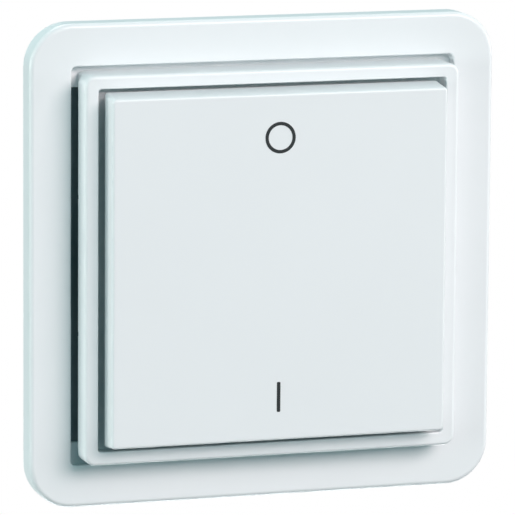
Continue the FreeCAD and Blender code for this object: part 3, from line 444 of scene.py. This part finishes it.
class WALLSWITCH_OT_inside(bpy.types.Operator):
    """Give the wall plate, the module and the parts on its board their finishes"""

    bl_idname = "wallswitch.inside"
    bl_label = "Finish the parts inside"

    def execute(self, context):
        self.plastics(context.scene.wallswitch_finish)
        self.metals()
        return {"FINISHED"}

    def plastics(self, finish):
        """Wall plate, housing, board, contact mat and the dull parts on the board."""
        # The wall plate's colour partly paints the shade in the side gaps, where the plate shows between the
        # frames.
        dress(plastic("plate_grey_and_painted_gap_shade", finish.plate, grain=0.4 * MM, roughness=0.55, bump=0.25, spread=0.12),
              "wall_plate")
        dress(plastic("module_finish", finish.module, grain=0.35 * MM, roughness=0.5, bump=0.2, spread=0.12),
              "module_tray", "module_cover")
        dress(plastic("board_finish", BOARD_GREEN, grain=0.5 * MM, roughness=0.32, bump=0.15, spread=0.2),
              "circuit_board")
        dress(plastic("silicone_finish", MAT_GREY, grain=0.25 * MM, roughness=0.6, bump=0.15, spread=0.06),
              "contact_mat")
        dress(plastic("holder_finish", HOLDER_BLACK, grain=0.3 * MM, roughness=0.5, bump=0.2, spread=0.15),
              "cell_holder")
        dress(plastic("chip_finish", CHIP_BLACK, grain=0.12 * MM, roughness=0.55, bump=0.3, spread=0.2),
              "radio_chip", "coding_chip", "resistors")
        dress(plastic("ferrite_finish", FERRITE_GREY, grain=0.15 * MM, roughness=0.6, bump=0.3, spread=0.2),
              "matching_coil")
        dress(plastic("ceramic_finish", CERAMIC_TAN, grain=0.15 * MM, roughness=0.45, bump=0.15, spread=0.1),
              "capacitors")

    def metals(self):
        """Cell, contacts, crystal, antenna and screws."""
        dress(metal("cell_finish", CELL_STEEL, lines=6000, roughness=0.28), "coin_cell")
        dress(metal("spring_finish", SPRING_STEEL, lines=5000, roughness=0.22),
              "positive_clip", "negative_contact")
        dress(metal("crystal_finish", CRYSTAL_STEEL, lines=5000, roughness=0.3), "crystal")
        dress(metal("antenna_finish", ANTENNA_BRASS, lines=7000, roughness=0.3), "antenna")
        dress(metal("screw_finish", SCREW_ZINC, lines=6000, roughness=0.32), "housing_screws")


# Stage

def direction(azimuth, elevation):
    """From the switch towards a camera or lamp, from two angles."""
    level = math.cos(elevation)
    return Vector((math.sin(azimuth) * level, -math.cos(azimuth) * level, math.sin(elevation)))


def soft_box(box):
    """An area lamp that points at the switch and that the camera doesn't see."""
    back = direction(math.radians(box.azimuth), math.radians(box.elevation))
    data = bpy.data.lights.new(box.name, "AREA")
    data.shape = "RECTANGLE"
    data.size = box.width
    data.size_y = box.height
    data.energy = box.power
    data.color = box.colour
    lamp = bpy.data.objects.new(box.name, data)
    bpy.context.collection.objects.link(lamp)
    lamp.location = back * box.distance
    lamp.rotation_euler = back.to_track_quat("Z", "Y").to_euler()
    lamp.visible_camera = False


def floor_paper():
    """Paper with a faint grain, pale to the camera, that throws little light back up at the switch."""
    material = bpy.data.materials.new("floor_paper")
    tree = empty_tree(material)
    place = tree.nodes.new("ShaderNodeTexCoord").outputs["Object"]
    seen = seen_directly(tree)
    pale = mix_colours(tree, noise(tree, place, PAPER_GRAIN, detail=2.0), PAPER_DIM, PAPER_BRIGHT)
    paper = add_node(tree, "ShaderNodeBsdfDiffuse", {"Color": mix_colours(tree, seen, PAPER_RETURN, pale)})
    white = add_node(tree, "ShaderNodeEmission", {"Color": WHITE, "Strength": 1.0})
    flat = add_node(tree, "ShaderNodeVectorMath", {0: place, 1: (1, 1, 0)}, operation="MULTIPLY")
    reach = add_node(tree, "ShaderNodeVectorMath", {0: flat.outputs[0]}, operation="LENGTH").outputs["Value"]
    far = add_node(
        tree, "ShaderNodeMapRange", {"Value": reach, "From Min": WHITE_FROM, "From Max": WHITE_TO},
        interpolation_type="SMOOTHSTEP").outputs["Result"]
    shown = mix_shaders(tree, math_node(tree, "MULTIPLY", far, seen), paper, white)
    clear = tree.nodes.new("ShaderNodeBsdfTransparent")
    under = tree.nodes.new("ShaderNodeNewGeometry").outputs["Backfacing"]
    sided = mix_shaders(tree, under, shown, clear)
    add_node(tree, "ShaderNodeOutputMaterial", {"Surface": sided.outputs[0]})
    return material


class WALLSWITCH_OT_stage(bpy.types.Operator):
    """Set the camera, the sky, the floor and the lamps"""

    bl_idname = "wallswitch.stage"
    bl_label = "Set the stage"

    def execute(self, context):
        settings = context.scene.wallswitch_stage
        context.scene.view_settings.view_transform = "Standard"
        self.camera(context, settings)
        self.sky(context, settings)
        self.floor(settings)
        for box in SOFT_BOXES:
            soft_box(box)
        return {"FINISHED"}

    def camera(self, context, settings):
        """A long lens from the left and a little above."""
        back = direction(-settings.yaw, settings.pitch)
        across = Vector((0, 0, 1)).cross(back).normalized()
        upward = back.cross(across)
        right = math.cos(settings.roll) * across + math.sin(settings.roll) * upward
        up = back.cross(right)
        place = Vector((settings.aim_x, FRAME_FACE, settings.aim_z)) + settings.distance * back
        data = bpy.data.cameras.new("camera")
        data.sensor_width = SENSOR_WIDTH
        data.lens = settings.lens
        data.clip_start = CLIP_START
        camera = bpy.data.objects.new("camera", data)
        context.collection.objects.link(camera)
        turn = Matrix((right, up, back)).transposed()
        camera.matrix_world = Matrix.Translation(place) @ turn.to_4x4()
        context.scene.camera = camera

    def sky(self, context, settings):
        """Even light from all round, and plain white where the camera sees it."""
        world = bpy.data.worlds.new("sky")
        context.scene.world = world
        tree = empty_tree(world)
        light = add_node(tree, "ShaderNodeBackground", {
            "Color": rgba(settings.sky), "Strength": settings.sky_strength})
        white = add_node(tree, "ShaderNodeBackground", {"Color": WHITE, "Strength": 1.0})
        mixed = mix_shaders(tree, seen_directly(tree), light, white)
        add_node(tree, "ShaderNodeOutputWorld", {"Surface": mixed.outputs[0]})

    def floor(self, settings):
        """A wide floor, open from below, that shows the switch's shadow and is white further off."""
        start_piece()
        bpy.ops.mesh.primitive_plane_add(size=FLOOR_SIDE, location=(0, 0, -settings.floor_drop))
        bpy.ops.object.mode_set(mode="EDIT")
        bpy.ops.mesh.select_all(action="SELECT")
        bpy.ops.mesh.subdivide(number_cuts=FLOOR_CUTS)
        bpy.ops.object.mode_set(mode="OBJECT")
        bpy.ops.object.transform_apply(location=True, rotation=True, scale=True)
        floor = bpy.context.object
        floor.name = "floor"
        floor.data.materials.append(floor_paper())


class WALLSWITCH_PT_panel(bpy.types.Panel):
    """Sizes, colours and steps of the wall switch"""

    bl_idname = "WALLSWITCH_PT_panel"
    bl_label = "Wall switch"
    bl_space_type = "VIEW_3D"
    bl_region_type = "UI"
    bl_category = "Wall switch"

    def draw(self, context):
        layout = self.layout
        for step in STEPS:
            layout.operator(step.bl_idname)
        for group in SETTINGS:
            box = layout.box()
            for name in SETTINGS[group].__annotations__:
                box.prop(getattr(context.scene, group), name)


STEPS = [WALLSWITCH_OT_stage, WALLSWITCH_OT_mouldings, WALLSWITCH_OT_inside, WALLSWITCH_OT_signs]
SETTINGS = {
    "wallswitch_signs": SignSizes,
    "wallswitch_finish": FinishColours,
    "wallswitch_stage": StageSettings,
}


def register():
    for group, settings in SETTINGS.items():
        bpy.utils.register_class(settings)
        setattr(bpy.types.Scene, group, PointerProperty(type=settings))
    for step in STEPS:
        bpy.utils.register_class(step)
    bpy.utils.register_class(WALLSWITCH_PT_panel)


def unregister():
    bpy.utils.unregister_class(WALLSWITCH_PT_panel)
    for step in reversed(STEPS):
        bpy.utils.unregister_class(step)
    for group, settings in SETTINGS.items():
        delattr(bpy.types.Scene, group)
        bpy.utils.unregister_class(settings)


def main():
    register()
    bpy.ops.wallswitch.stage()
    bpy.ops.wallswitch.mouldings()
    bpy.ops.wallswitch.inside()
    bpy.ops.wallswitch.signs()


if __name__ == "__main__":
    main()
